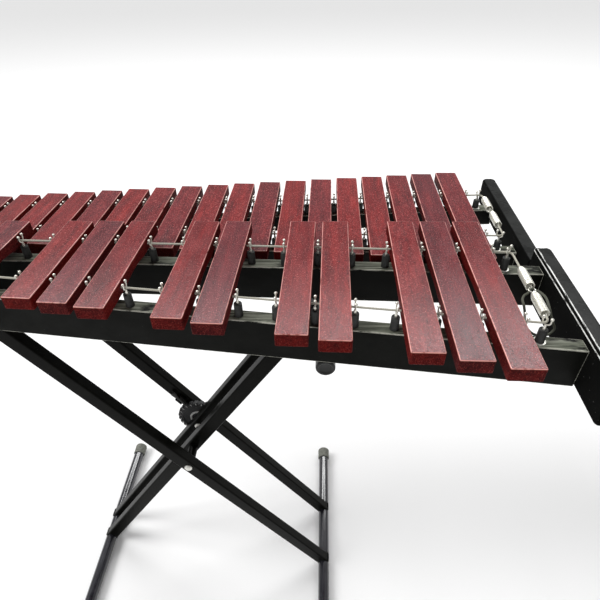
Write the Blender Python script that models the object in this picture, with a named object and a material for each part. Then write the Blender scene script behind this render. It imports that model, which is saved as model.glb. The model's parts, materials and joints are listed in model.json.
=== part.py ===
"""Three-octave xylophone: two rows of wooden bars on a black open frame,
resting on a folding double-braced X stand.

+X runs to the bass end, +Y to the naturals' side, +Z up. The origin is on
the floor, under the middle of the whole object.
"""
import math

import bmesh
import bpy
from mathutils import Matrix, Vector

# --- Driving dimensions, metres and radians -------------------------------

GAP = 0.0003                  # between pieces that touch
JOIN = 0.002                  # how far fixed-together shapes run into each other
EDGE = 0.0002                 # the step between two diameters of a turned piece

PITCH = 0.048                 # bar centre to bar centre
BAR_WIDTH = 0.038
BAR_THICKNESS = 0.019
BAR_CHAMFER = 0.0012
ARCH_DEPTH = 0.006            # undercut of the longest bar
NATURALS = 22
ACCIDENTAL_GROUPS = (3, 2, 2, 3, 2, 3)   # from the bass end
NATURAL_TOP = 0.897
ACCIDENTAL_TOP = 0.931
FIRST_ACCIDENTAL_X = 0.471
FAN_LINE_Y = 0.019            # where the bars stand exactly one pitch apart
NATURAL_FAN = 0.0028          # turn of each bar against the one before
ACCIDENTAL_FAN = 0.0043

CORD_RADIUS = 0.0014
BORE_RADIUS = 0.0024
SLEEVE_RADIUS = 0.0052
FORK_WIDTH = 0.0118           # over both prongs
FORK_GAP = 0.0082
FORK_PLATE = 0.0020
FORK_TIP_DROP = 0.0008        # tips below the bars' top

RAIL_THICKNESS = 0.021
FRAME_BOTTOM = 0.8315
ACCIDENTAL_RAIL_TOP = 0.8922
NATURAL_RAIL_TOP = 0.862
INNER_RAIL_BOTTOM = 0.835
BOARD_INNER_X = 0.572
BOARD_THICKNESS = 0.024
ACCIDENTAL_BOARD_TOP = 0.9036
NATURAL_BOARD_TOP = 0.8788
BOARD_NEAR_Y = -0.2765
BOARD_JOINT_Y = -0.0060
BOARD_FAR_Y = 0.2795
BOARD_CORNER = 0.010
PLAN_CORNER = 0.008

SPRING_LENGTH = 0.0435
SPRING_SPACE = 0.0104
SPRING_THIN = 0.0034
SPRING_WIDE = 0.0062
HOOK_RADIUS = 0.0016
CORNER_RADIUS = 0.008         # of the cord where it turns at an end post

ARM_X = 0.2659                # from the middle to each arm's axis
PIVOT_Z = 0.4247              # a little above the middle of the legs
ARM_TUBE_RADIUS = 0.0115
GRIP_RADIUS = 0.0137
ARM_FRONT_Y = -0.1775
ARM_BACK_Y = 0.183
FRONT_GRIP_END_Y = -0.087
BACK_GRIP_END_Y = 0.076
FOOT_TUBE_RADIUS = 0.0127
FOOT_CAP_RADIUS = 0.0165
FOOT_CAP_LENGTH = 0.030
FOOT_FRONT_Y = -0.256
FOOT_BACK_Y = 0.244
TUBE_WALL = 0.0015
LEG_WIDTH = 0.028
LEG_DEPTH = 0.0206
OUTER_FRONT_Y = -0.0829       # front faces of the four leg tubes
INNER_FRONT_Y = -0.0339
INNER_BACK_Y = 0.0179
OUTER_BACK_Y = 0.0507
TUBE_SIDES = 12
PIVOT_RADIUS = 0.0040
PIVOT_BORE = 0.0044
PIVOT_HEAD_RADIUS = 0.0075
PIVOT_DOME_RADIUS = 0.0045
PIVOT_HEAD = 0.0045
PIVOT_COLLAR_RADIUS = 0.0090  # between the legs
DISC_RADIUS = 0.048
DISC_NOTCHES = 24
DISC_NOTCH_DEPTH = 0.0035
DISC_THICKNESS = 0.0090
LOCK_PIN_RADIUS = 0.0030
LOCK_PIN_LENGTH = 0.042
LOCK_PIN_CLEARANCE = 0.0008
LOCK_HOUSING_LENGTH = 0.018
LOCK_HOUSING_WIDTH = 0.014
LOCK_HOUSING_CLEARANCE = 0.006
LOCK_AXIS_DEPTH = 0.006       # in front of the rear outer leg's face

FLAT = math.cos(math.pi / TUBE_SIDES)    # a round tube's flats, to its radius
ARM_Z = FRAME_BOTTOM - GAP - GRIP_RADIUS
FOOT_Z = FOOT_CAP_RADIUS * FLAT
LEG_ANGLE = math.atan2(ARM_Z - PIVOT_Z, ARM_X)
FOOT_X = (PIVOT_Z - FOOT_Z) / math.tan(LEG_ANGLE)


# --- The two rows of bars -------------------------------------------------
# A bar's or post's place along a row is its step: 0 at the first
# accidental, growing by one for each pitch towards the treble.

def accidental_steps():
    steps = []
    step = 0
    for group in ACCIDENTAL_GROUPS:
        steps += [step + i for i in range(group)]
        step += group + 1
    return steps


class Row:
    """One row of bars: its line of bars, posts, rails and cord."""

    def __init__(self, name, top, fan, steps, posts, end_posts, spring_step):
        self.name = name
        self.top = top
        self.fan = fan
        self.steps = steps
        self.posts = posts
        self.end_posts = end_posts
        self.spring_step = spring_step
        self.cord_z = top - BAR_THICKNESS / 2

    def x(self, step, y):
        return FIRST_ACCIDENTAL_X - step * (PITCH - self.fan * (y - FAN_LINE_Y))

    def place(self, step, line):
        """The point of a line of posts or bar ends at this step."""
        y = line(step)
        return Vector((self.x(step, y), y, 0))


def accidental_near_end(step):
    """The three bass bars shorten faster than the rest."""
    return -0.2795 + 0.01062 * min(step, 2) + 0.00833 * max(step - 2, 0)


def accidental_far_end(step):
    return 0.0188 - 0.00055 * step


def accidental_near_post(step):
    return -0.1916 + 0.00543 * step


def accidental_far_post(step):
    return -0.0471 + 0.00129 * step


def natural_near_end(step):
    return -0.0268 + 0.00197 * step


def natural_far_end(step):
    return 0.2607 - 0.00628 * step


def natural_near_post(step):
    return 0.0507


def natural_far_post(step):
    return 0.1847 - 0.00364 * step


ACCIDENTAL_STEPS = accidental_steps()
LAST_ACCIDENTAL = ACCIDENTAL_STEPS[-1]
NATURAL_STEPS = [i - 0.5 for i in range(NATURALS)]

ACCIDENTALS = Row("accidental", ACCIDENTAL_TOP, ACCIDENTAL_FAN, ACCIDENTAL_STEPS,
                  [i - 0.5 for i in range(LAST_ACCIDENTAL + 2)],
                  (-0.97, LAST_ACCIDENTAL + 0.97), -1.07)
ACCIDENTALS.near_end = accidental_near_end
ACCIDENTALS.far_end = accidental_far_end
ACCIDENTALS.near_post = accidental_near_post
ACCIDENTALS.far_post = accidental_far_post
ACCIDENTALS.rail_top = ACCIDENTAL_RAIL_TOP
ACCIDENTALS.spring_far_y = -0.086

NATURAL_ROW = Row("natural", NATURAL_TOP, NATURAL_FAN, NATURAL_STEPS,
                  [i - 1 for i in range(NATURALS + 1)],
                  (-1.46, NATURALS - 0.54), -1.60)
NATURAL_ROW.near_end = natural_near_end
NATURAL_ROW.far_end = natural_far_end
NATURAL_ROW.near_post = natural_near_post
NATURAL_ROW.far_post = natural_far_post
NATURAL_ROW.rail_top = NATURAL_RAIL_TOP
NATURAL_ROW.spring_far_y = 0.179


# --- Materials ------------------------------------------------------------

def material(name, colour, roughness, metallic=0.0):
    made = bpy.data.materials.get(name)
    if made is None:
        made = bpy.data.materials.new(name)
        made.use_nodes = True
        shader = made.node_tree.nodes["Principled BSDF"]
        shader.inputs["Base Color"].default_value = (*colour, 1)
        shader.inputs["Roughness"].default_value = roughness
        shader.inputs["Metallic"].default_value = metallic
    return made


def bar_wood():
    return material("bar_wood", (0.16, 0.012, 0.012), 0.45)


def frame_paint():
    return material("frame_paint", (0.012, 0.012, 0.013), 0.35)


def stand_paint():
    return material("stand_paint", (0.014, 0.014, 0.011), 0.4)


def chrome():
    return material("chrome", (0.75, 0.73, 0.68), 0.2, 1.0)


def zinc():
    return material("zinc", (0.62, 0.61, 0.57), 0.35, 1.0)


def sleeve_rubber():
    return material("sleeve_rubber", (0.02, 0.02, 0.02), 0.7)


def cord_braid():
    return material("cord_braid", (0.42, 0.40, 0.35), 0.8)


def disc_plastic():
    return material("disc_plastic", (0.015, 0.015, 0.016), 0.5)


# --- Mesh helpers ---------------------------------------------------------

def finish(name, mesh, look, smooth=False):
    """Turns a bmesh into a named object with outward faces."""
    bmesh.ops.recalc_face_normals(mesh, faces=mesh.faces)
    data = bpy.data.meshes.new(name)
    mesh.to_mesh(data)
    mesh.free()
    data.materials.append(look)
    if smooth:
        data.shade_smooth()
        data.set_sharp_from_angle(angle=math.radians(35))
    made = bpy.data.objects.new(name, data)
    bpy.context.scene.collection.objects.link(made)
    return made


def add_loft(mesh, rings):
    """Closed solid through equal rings of points, capped at both ends."""
    rows = [[mesh.verts.new(point) for point in ring] for ring in rings]
    count = len(rows[0])
    for low, high in zip(rows, rows[1:]):
        for i in range(count):
            j = (i + 1) % count
            mesh.faces.new((low[i], low[j], high[j], high[i]))
    mesh.faces.new(rows[0][::-1])
    mesh.faces.new(rows[-1])


def ring_points(centre, across, up, radius, sides):
    """A polygon round a centre, with a flat side facing down."""
    turn = math.tau / sides
    return [centre + radius * (across * math.cos(turn * (i + 0.5))
                               + up * math.sin(turn * (i + 0.5)))
            for i in range(sides)]


def axis_frame(start, end):
    along = (end - start).normalized()
    side = Vector((0, 0, 1)) if abs(along.z) < 0.9 else Vector((1, 0, 0))
    across = along.cross(side).normalized()
    return across, across.cross(along)


def add_turned(mesh, start, end, profile, sides):
    """Turned solid: profile holds (fraction along the axis, radius)."""
    across, up = axis_frame(start, end)
    rings = [ring_points(start.lerp(end, part), across, up, radius, sides)
             for part, radius in profile]
    add_loft(mesh, rings)


def add_rod(mesh, start, end, radius, sides):
    add_turned(mesh, start, end, [(0, radius), (1, radius)], sides)


def add_prism(mesh, outline, shift):
    """Solid swept from a flat outline along a vector."""
    add_loft(mesh, [outline, [point + shift for point in outline]])


def combine(target, tool, operation):
    """Boolean of target and tool, with the tool kept as a hidden guide."""
    tool.hide_render = True
    tool.display_type = 'WIRE'
    step = target.modifiers.new(tool.name, 'BOOLEAN')
    step.operation = operation
    step.object = tool


def arc(centre, radius, start, stop, steps):
    """Points of a circular arc in a plane, angles in degrees."""
    points = []
    for i in range(steps + 1):
        angle = math.radians(start + (stop - start) * i / steps)
        points.append((centre[0] + radius * math.cos(angle),
                       centre[1] + radius * math.sin(angle)))
    return points


# --- Bars -----------------------------------------------------------------

def bar_section(top, bottom):
    """Cross-section with both upper edges chamfered."""
    half = BAR_WIDTH / 2
    return [(-half, bottom), (half, bottom), (half, top - BAR_CHAMFER),
            (half - BAR_CHAMFER, top), (BAR_CHAMFER - half, top),
            (-half, top - BAR_CHAMFER)]


def build_bar(name, row, step, cutters):
    near = row.place(step, row.near_end)
    far = row.place(step, row.far_end)
    across, _ = axis_frame(near, far)
    longest = 0.3
    arch = ARCH_DEPTH * (far - near).length / longest
    mesh = bmesh.new()
    rings = []
    for part, lift in ((0, 0), (0.36, 0), (0.43, 1), (0.57, 1), (0.64, 0), (1, 0)):
        centre = near.lerp(far, part)
        bottom = row.top - BAR_THICKNESS + lift * arch
        rings.append([centre + across * u + Vector((0, 0, z))
                      for u, z in bar_section(row.top, bottom)])
    add_loft(mesh, rings)
    made = finish(name, mesh, bar_wood())
    for cutter in cutters:
        combine(made, cutter, 'DIFFERENCE')


def bore_cutter(name, row, line):
    """A long rod along one run of the cord, to bore every bar it crosses."""
    start = row.place(row.posts[0] - 1, line)
    end = row.place(row.posts[-1] + 1, line)
    lift = Vector((0, 0, row.cord_z))
    mesh = bmesh.new()
    add_rod(mesh, start + lift, end + lift, BORE_RADIUS, 8)
    return finish(name, mesh, cord_braid())


def build_bars(row):
    cutters = [bore_cutter(row.name + "_near_bore", row, row.near_post),
               bore_cutter(row.name + "_far_bore", row, row.far_post)]
    for number, step in enumerate(row.steps, start=1):
        build_bar(f"{row.name}_bar_{number:02d}", row, step, cutters)


# --- Posts: a rubber sleeve on the rail, and a fork that holds the cord ----
# A row has too many posts for a node each, so each rail carries its own.

def fork_outline(row, centre, side):
    """U outline standing in the plane of 'side' and Z."""
    outer = FORK_WIDTH / 2
    inner = FORK_GAP / 2
    top = row.top - FORK_TIP_DROP
    seat = row.cord_z - CORD_RADIUS - GAP
    low = row.top - BAR_THICKNESS - JOIN
    corners = [(-outer, low), (outer, low), (outer, top), (inner, top),
               (inner, seat), (-inner, seat), (-inner, top), (-outer, top)]
    return [centre + side * u + Vector((0, 0, z)) for u, z in corners]


def add_post(sleeves, forks, row, centre, side):
    base = centre + Vector((0, 0, row.rail_top - JOIN))
    head = centre + Vector((0, 0, row.top - BAR_THICKNESS - GAP))
    add_rod(sleeves, base, head, SLEEVE_RADIUS, 6)
    thickness = side.cross(Vector((0, 0, 1))) * FORK_PLATE
    add_prism(forks, fork_outline(row, centre - thickness / 2, side), thickness)


def build_posts(name, row, line, near_side):
    """All the posts of one rail, as two hidden guides to join to it."""
    sleeves = bmesh.new()
    forks = bmesh.new()
    for step in row.posts:
        add_post(sleeves, forks, row, row.place(step, line), Vector((0, 1, 0)))
    for step, end_side in zip(row.end_posts, (1, -1)):
        diagonal = Vector((end_side, near_side, 0)).normalized()
        add_post(sleeves, forks, row, row.place(step, line), diagonal)
    return (finish(name + "_sleeves", sleeves, sleeve_rubber()),
            finish(name + "_forks", forks, chrome()))


# --- Cords and their tension springs --------------------------------------

def corner_arc(corner, before, after):
    """The cord's bend where it turns a corner at an end post."""
    back = (before - corner).normalized()
    onward = (after - corner).normalized()
    half = back.angle(onward) / 2
    reach = CORNER_RADIUS / math.tan(half)
    centre = corner + (back + onward).normalized() * CORNER_RADIUS / math.sin(half)
    first = corner + back * reach - centre
    last = corner + onward * reach - centre
    return [centre + first.slerp(last, i / 4).normalized() * CORNER_RADIUS
            for i in range(5)]


def end_line_x(row, bass):
    """The X of the cord's short run beside the last bar."""
    if bass:
        return FIRST_ACCIDENTAL_X - row.spring_step * PITCH
    return row.place(row.end_posts[1], row.near_post).x - 0.002


def cord_corner(row, line, x):
    """Where a straight run of posts meets the cross run at x."""
    a = row.place(row.posts[0], line)
    b = row.place(row.posts[-1], line)
    y = a.y + (b.y - a.y) * (x - a.x) / (b.x - a.x)
    return Vector((x, y, row.cord_z))


def cord_path(row):
    """From the springs' far end round both runs to their near end."""
    bass = end_line_x(row, True)
    treble = end_line_x(row, False)
    springs = 2 * SPRING_LENGTH + SPRING_SPACE
    far_tip = Vector((bass, row.spring_far_y + GAP, row.cord_z))
    near_tip = Vector((bass, row.spring_far_y - springs - GAP, row.cord_z))
    corners = [cord_corner(row, row.far_post, bass),
               cord_corner(row, row.far_post, treble),
               cord_corner(row, row.near_post, treble),
               cord_corner(row, row.near_post, bass)]
    stops = [far_tip] + corners + [near_tip]
    points = [far_tip]
    for before, corner, after in zip(stops, stops[1:], stops[2:]):
        points += corner_arc(corner, before, after)
    return points + [near_tip]


def build_cord(row):
    """Round cord along its level path, square to it at every point."""
    path = cord_path(row)
    rings = []
    for i, point in enumerate(path):
        before = path[max(i - 1, 0)]
        after = path[min(i + 1, len(path) - 1)]
        along = (after - before).normalized()
        across = along.cross(Vector((0, 0, 1))).normalized()
        rings.append(ring_points(point, across, Vector((0, 0, 1)), CORD_RADIUS, 8))
    mesh = bmesh.new()
    add_loft(mesh, rings)
    finish("cord_" + row.name, mesh, cord_braid(), smooth=True)


def build_springs(row):
    """Two tapered springs in line, hooked to each other in the middle."""
    length = 2 * SPRING_LENGTH + SPRING_SPACE
    profile = []
    for start in (0, SPRING_LENGTH + SPRING_SPACE):
        profile += [(start, HOOK_RADIUS), (start + 0.002, SPRING_THIN),
                    (start + SPRING_LENGTH - 0.003, SPRING_WIDE),
                    (start + SPRING_LENGTH, HOOK_RADIUS)]
    start = Vector((end_line_x(row, True), row.spring_far_y, row.cord_z))
    end = start - Vector((0, length, 0))
    mesh = bmesh.new()
    add_turned(mesh, start, end, [(s / length, r) for s, r in profile], 10)
    finish("tension_springs_" + row.name, mesh, chrome(), smooth=True)


# --- Frame: four rails between two pairs of end boards ---------------------

RAILS = (
    ("rail_accidental_outer", ACCIDENTALS, accidental_near_post, FRAME_BOTTOM, -1),
    ("rail_accidental_inner", ACCIDENTALS, accidental_far_post, INNER_RAIL_BOTTOM, 1),
    ("rail_natural_inner", NATURAL_ROW, natural_near_post, FRAME_BOTTOM, -1),
    ("rail_natural_outer", NATURAL_ROW, natural_far_post, FRAME_BOTTOM, 1),
)


def build_rail(name, row, line, bottom, near_side):
    end_x = BOARD_INNER_X - GAP
    half = RAIL_THICKNESS / 2
    outline = []
    for x, sides in ((-end_x, (-half, half)), (end_x, (half, -half))):
        y = cord_corner(row, line, x).y
        outline += [Vector((x, y + side, bottom)) for side in sides]
    mesh = bmesh.new()
    add_prism(mesh, outline, Vector((0, 0, row.rail_top - bottom)))
    rail = finish(name, mesh, frame_paint())
    for posts in build_posts(name, row, line, near_side):
        combine(rail, posts, 'UNION')


def board_profile(near_y, far_y, bottom, top, near_corner):
    """Side view of an end board, its near corners rounded if asked."""
    if not near_corner:
        return [(near_y, bottom), (far_y, bottom), (far_y, top), (near_y, top)]
    low = arc((near_y + near_corner, bottom + near_corner), near_corner, 180, 270, 4)
    high = arc((near_y + near_corner, top - near_corner), near_corner, 90, 180, 4)
    return low + [(far_y, bottom), (far_y, top)] + high


def build_board(name, end_side, near_y, far_y, top, near_corner):
    """An end board; its free vertical corners are rounded in plan."""
    profile = board_profile(near_y, far_y, FRAME_BOTTOM, top, near_corner)
    inner = end_side * BOARD_INNER_X
    outer = end_side * (BOARD_INNER_X + BOARD_THICKNESS)
    mesh = bmesh.new()
    add_prism(mesh, [Vector((inner, y, z)) for y, z in profile],
              Vector((outer - inner, 0, 0)))
    corners = []
    for edge in mesh.edges:
        a, b = (vert.co for vert in edge.verts)
        upright = abs(a.z - b.z) > 0.03
        at_far_end = abs(a.y - far_y) < GAP and abs(b.y - far_y) < GAP
        outside = abs(a.x - outer) < GAP
        if upright and at_far_end and (outside or near_corner == 0):
            corners.append(edge)
    bmesh.ops.bevel(mesh, geom=corners, offset=PLAN_CORNER, segments=3, profile=0.5,
                    affect='EDGES')
    finish(name, mesh, frame_paint())


def build_frame():
    for rail in RAILS:
        build_rail(*rail)
    for side, end in ((1, "bass"), (-1, "treble")):
        build_board(f"end_board_{end}_accidental", side, BOARD_NEAR_Y,
                    BOARD_JOINT_Y, ACCIDENTAL_BOARD_TOP, BOARD_CORNER)
        build_board(f"end_board_{end}_natural", side, BOARD_JOINT_Y + GAP,
                    BOARD_FAR_Y, NATURAL_BOARD_TOP, 0)


# --- Stand ----------------------------------------------------------------
# The outer frame's two legs run from the treble-side arm down to the
# bass-side foot. The inner frame's run the other way, between them, and both
# frames turn on the pivot rod. Each frame is two legs, an arm and a foot.

PIVOT = Vector((0, 0, PIVOT_Z))


def leg_direction(slope):
    """Unit vector up a leg; slope 1 leans to +X going up, -1 to -X."""
    return Vector((slope * math.cos(LEG_ANGLE), 0, math.sin(LEG_ANGLE)))


def add_leg(mesh, slope, front_y, wall):
    """Rectangular bar from the foot's axis to the arm's; a wall insets it."""
    up = leg_direction(slope)
    side = Vector((up.z, 0, -up.x))
    low = PIVOT - up * (math.hypot(FOOT_X, PIVOT_Z - FOOT_Z) + wall)
    high = PIVOT + up * (math.hypot(ARM_X, ARM_Z - PIVOT_Z) + wall)
    half = LEG_WIDTH / 2 - wall
    corners = [(-half, front_y + wall), (half, front_y + wall),
               (half, front_y + LEG_DEPTH - wall), (-half, front_y + LEG_DEPTH - wall)]
    outline = [low + side * u + Vector((0, y, 0)) for u, y in corners]
    add_prism(mesh, outline, high - low)


def depth_rod(mesh, x, z, front_y, back_y, radius):
    """Round bar along Y."""
    add_rod(mesh, Vector((x, front_y, z)), Vector((x, back_y, z)), radius, TUBE_SIDES)


def guide(target, name, operation, build, *values):
    """Joins or cuts the target with a hidden solid from an add function."""
    mesh = bmesh.new()
    build(mesh, *values)
    tool = finish(f"{target.name}_{name}", mesh, stand_paint())
    tool.parent = target
    combine(target, tool, operation)


def build_leg(name, slope, front_y):
    """A rectangular tube, coped round the arm and the foot."""
    mesh = bmesh.new()
    add_leg(mesh, slope, front_y, 0)
    leg = finish(name, mesh, stand_paint())
    ends = (front_y - LEG_DEPTH, front_y + 2 * LEG_DEPTH)
    arm_cope = (ARM_TUBE_RADIUS + GAP) / FLAT
    foot_cope = (FOOT_TUBE_RADIUS + GAP) / FLAT
    if name == "outer_leg_rear":
        guide(leg, "housing", 'UNION', add_lock_housing)
    guide(leg, "bore", 'DIFFERENCE', add_leg, slope, front_y, TUBE_WALL)
    guide(leg, "arm_cope", 'DIFFERENCE', depth_rod, slope * ARM_X, ARM_Z, *ends,
          arm_cope)
    guide(leg, "foot_cope", 'DIFFERENCE', depth_rod, -slope * FOOT_X, FOOT_Z, *ends,
          foot_cope)
    guide(leg, "pivot_hole", 'DIFFERENCE', depth_rod, 0, PIVOT_Z, *ends, PIVOT_BORE)
    return leg


def build_tube(name, x, z, stations, bore):
    """Round tube along Y; stations are (y, radius), thicker at its rubber ends."""
    first, last = stations[0][0], stations[-1][0]
    path = [(first, bore)] + stations + [(last, bore)]
    mesh = bmesh.new()
    across, up = Vector((1, 0, 0)), Vector((0, 0, 1))
    rows = []
    for y, radius in path:
        ring = ring_points(Vector((x, y, z)), across, up, radius, TUBE_SIDES)
        rows.append([mesh.verts.new(point) for point in ring])
    for low, high in zip(rows, rows[1:] + rows[:1]):
        for i in range(TUBE_SIDES):
            j = (i + 1) % TUBE_SIDES
            mesh.faces.new((low[i], low[j], high[j], high[i]))
    return finish(name, mesh, stand_paint(), smooth=True)


def build_arm(name, x):
    stations = [(ARM_FRONT_Y, GRIP_RADIUS), (FRONT_GRIP_END_Y, GRIP_RADIUS),
                (FRONT_GRIP_END_Y + EDGE, ARM_TUBE_RADIUS),
                (BACK_GRIP_END_Y - EDGE, ARM_TUBE_RADIUS),
                (BACK_GRIP_END_Y, GRIP_RADIUS), (ARM_BACK_Y, GRIP_RADIUS)]
    return build_tube(name, x, ARM_Z, stations, ARM_TUBE_RADIUS - TUBE_WALL)


def build_foot(name, x):
    front, back = FOOT_FRONT_Y + FOOT_CAP_LENGTH, FOOT_BACK_Y - FOOT_CAP_LENGTH
    stations = [(FOOT_FRONT_Y, FOOT_CAP_RADIUS), (front, FOOT_CAP_RADIUS),
                (front + EDGE, FOOT_TUBE_RADIUS), (back - EDGE, FOOT_TUBE_RADIUS),
                (back, FOOT_CAP_RADIUS), (FOOT_BACK_Y, FOOT_CAP_RADIUS)]
    return build_tube(name, x, FOOT_Z, stations, FOOT_TUBE_RADIUS - TUBE_WALL)


def lock_axis_point(reach):
    """A point on the lock pin's axis, this far from the pivot."""
    point = PIVOT + leg_direction(-1) * reach
    point.y = OUTER_BACK_Y - LOCK_AXIS_DEPTH
    return point


def add_lock_housing(mesh):
    """Channel on the rear outer leg that the lock pin slides in."""
    up = leg_direction(-1)
    side = Vector((up.z, 0, -up.x))
    start = lock_axis_point(DISC_RADIUS + LOCK_HOUSING_CLEARANCE)
    half = LOCK_HOUSING_WIDTH / 2
    slot = LOCK_PIN_RADIUS + GAP
    lip = -LOCK_PIN_RADIUS - GAP
    floor = LOCK_PIN_RADIUS + GAP
    back = LOCK_AXIS_DEPTH + JOIN
    corners = [(-half, lip), (-slot, lip), (-slot, floor), (slot, floor),
               (slot, lip), (half, lip), (half, back), (-half, back)]
    outline = [start + side * u + Vector((0, y, 0)) for u, y in corners]
    add_prism(mesh, outline, up * LOCK_HOUSING_LENGTH)


def build_pivot():
    """One stepped rod through all four legs, headed at both ends."""
    front = OUTER_FRONT_Y - GAP
    back = OUTER_BACK_Y + LEG_DEPTH + GAP
    collars = ((OUTER_FRONT_Y, INNER_FRONT_Y), (INNER_FRONT_Y, INNER_BACK_Y))
    profile = [(front - PIVOT_HEAD, PIVOT_DOME_RADIUS), (front - 0.003, PIVOT_HEAD_RADIUS),
               (front, PIVOT_HEAD_RADIUS), (front + EDGE, PIVOT_RADIUS)]
    for leg_front, next_front in collars:
        start = leg_front + LEG_DEPTH + GAP
        stop = next_front - GAP
        profile += [(start, PIVOT_RADIUS), (start + EDGE, PIVOT_COLLAR_RADIUS),
                    (stop - EDGE, PIVOT_COLLAR_RADIUS), (stop, PIVOT_RADIUS)]
    profile += [(back - EDGE, PIVOT_RADIUS), (back, PIVOT_HEAD_RADIUS),
                (back + PIVOT_HEAD, PIVOT_HEAD_RADIUS)]
    start = Vector((0, profile[0][0], PIVOT_Z))
    end = Vector((0, profile[-1][0], PIVOT_Z))
    length = end.y - start.y
    mesh = bmesh.new()
    add_turned(mesh, start, end, [((y - start.y) / length, r) for y, r in profile], 12)
    return finish("pivot_rod", mesh, zinc(), smooth=True)


def disc_outline():
    """Toothed rim: each notch is a short step inwards."""
    points = []
    for i in range(DISC_NOTCHES):
        for part, radius in ((0.0, DISC_RADIUS), (0.62, DISC_RADIUS),
                             (0.68, DISC_RADIUS - DISC_NOTCH_DEPTH),
                             (0.94, DISC_RADIUS - DISC_NOTCH_DEPTH)):
            angle = math.tau * (i + part) / DISC_NOTCHES
            points.append((radius * math.cos(angle), radius * math.sin(angle)))
    return points


def build_disc():
    """Toothed disc on the rear inner leg, in the gap to the outer one."""
    room = OUTER_BACK_Y - INNER_BACK_Y - LEG_DEPTH
    front = INNER_BACK_Y + LEG_DEPTH + (room - DISC_THICKNESS) / 2
    back = front + DISC_THICKNESS
    mesh = bmesh.new()
    add_prism(mesh, [PIVOT + Vector((x, front, z)) for x, z in disc_outline()],
              Vector((0, DISC_THICKNESS, 0)))
    disc = finish("lock_disc", mesh, disc_plastic())
    guide(disc, "hole", 'DIFFERENCE', depth_rod, 0, PIVOT_Z, front - JOIN, back + JOIN,
          PIVOT_BORE)
    return disc


def build_pin():
    """Spring pin with a pull knob; its tip stands just off the disc's rim."""
    profile = [(0, 0.6 * LOCK_PIN_RADIUS), (0.06, LOCK_PIN_RADIUS),
               (0.80, LOCK_PIN_RADIUS), (0.82, 1.35 * LOCK_PIN_RADIUS),
               (1, 1.2 * LOCK_PIN_RADIUS)]
    tip = lock_axis_point(DISC_RADIUS + LOCK_PIN_CLEARANCE)
    mesh = bmesh.new()
    add_turned(mesh, tip, tip + leg_direction(-1) * LOCK_PIN_LENGTH, profile, 10)
    return finish("lock_pin", mesh, zinc(), smooth=True)


def hang(name, point, pieces, holder=None):
    """Parents pieces to an empty on their joint's axis."""
    empty = bpy.data.objects.new(name, None)
    bpy.context.scene.collection.objects.link(empty)
    empty.parent = holder
    base = holder.matrix_world.translation if holder else Vector()
    empty.location = point - base
    empty.matrix_world = Matrix.Translation(point)
    for piece in pieces:
        piece.parent = empty
        piece.matrix_parent_inverse = Matrix.Translation(-point)
    return empty


def build_stand():
    outer = [build_leg("outer_leg_front", -1, OUTER_FRONT_Y),
             build_leg("outer_leg_rear", -1, OUTER_BACK_Y),
             build_foot("outer_foot", FOOT_X), build_pivot()]
    inner = [build_leg("inner_leg_front", 1, INNER_FRONT_Y),
             build_leg("inner_leg_rear", 1, INNER_BACK_Y),
             build_arm("inner_arm", ARM_X), build_foot("inner_foot", -FOOT_X),
             build_disc()]
    build_arm("outer_arm", -ARM_X)
    fold = hang("outer_fold", Vector((-ARM_X, 0, ARM_Z)), outer)
    hang("scissor_pivot", PIVOT, inner, fold)
    hang("lock_pin_slide", lock_axis_point(DISC_RADIUS), [build_pin()], fold)


def main():
    for old in list(bpy.data.objects):
        bpy.data.objects.remove(old, do_unlink=True)
    for row in (ACCIDENTALS, NATURAL_ROW):
        build_bars(row)
        build_cord(row)
        build_springs(row)
    build_frame()
    build_stand()


main()
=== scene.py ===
"""Looks of the xylophone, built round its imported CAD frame.

Metres, +X to the bass end, +Y to the naturals' side, +Z up. Every place is
read from the frame's nodes; the sizes below are only for detail that the
frame's plain solids leave out.
"""
import json
import math
import random

import bmesh
import bpy
from mathutils import Matrix, Vector


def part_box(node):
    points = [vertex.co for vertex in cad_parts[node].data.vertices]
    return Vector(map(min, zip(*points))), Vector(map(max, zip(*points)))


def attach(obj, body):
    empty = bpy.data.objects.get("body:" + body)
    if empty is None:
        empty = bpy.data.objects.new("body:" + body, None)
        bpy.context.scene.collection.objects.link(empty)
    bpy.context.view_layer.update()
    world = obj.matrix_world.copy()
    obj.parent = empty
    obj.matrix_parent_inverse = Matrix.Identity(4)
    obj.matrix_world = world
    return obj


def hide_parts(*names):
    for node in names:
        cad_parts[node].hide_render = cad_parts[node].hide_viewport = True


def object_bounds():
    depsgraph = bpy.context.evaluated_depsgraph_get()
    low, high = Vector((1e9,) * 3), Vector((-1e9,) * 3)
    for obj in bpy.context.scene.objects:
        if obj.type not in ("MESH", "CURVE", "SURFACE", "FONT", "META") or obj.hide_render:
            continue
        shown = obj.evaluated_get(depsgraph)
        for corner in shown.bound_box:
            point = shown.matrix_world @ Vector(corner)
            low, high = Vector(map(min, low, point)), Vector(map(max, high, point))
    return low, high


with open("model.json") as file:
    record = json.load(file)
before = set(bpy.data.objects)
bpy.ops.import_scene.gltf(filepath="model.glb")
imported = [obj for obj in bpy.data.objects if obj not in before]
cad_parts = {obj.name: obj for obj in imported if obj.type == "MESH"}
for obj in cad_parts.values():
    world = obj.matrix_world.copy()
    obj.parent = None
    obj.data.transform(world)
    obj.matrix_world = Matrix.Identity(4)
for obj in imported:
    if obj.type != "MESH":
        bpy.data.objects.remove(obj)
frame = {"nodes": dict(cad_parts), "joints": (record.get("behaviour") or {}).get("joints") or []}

CAD_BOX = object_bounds()
X_AXIS = Vector((1, 0, 0))
Y_AXIS = Vector((0, 1, 0))
UP = Vector((0, 0, 1))
random.seed(7)

# --- Sizes of the detail ---

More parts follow.
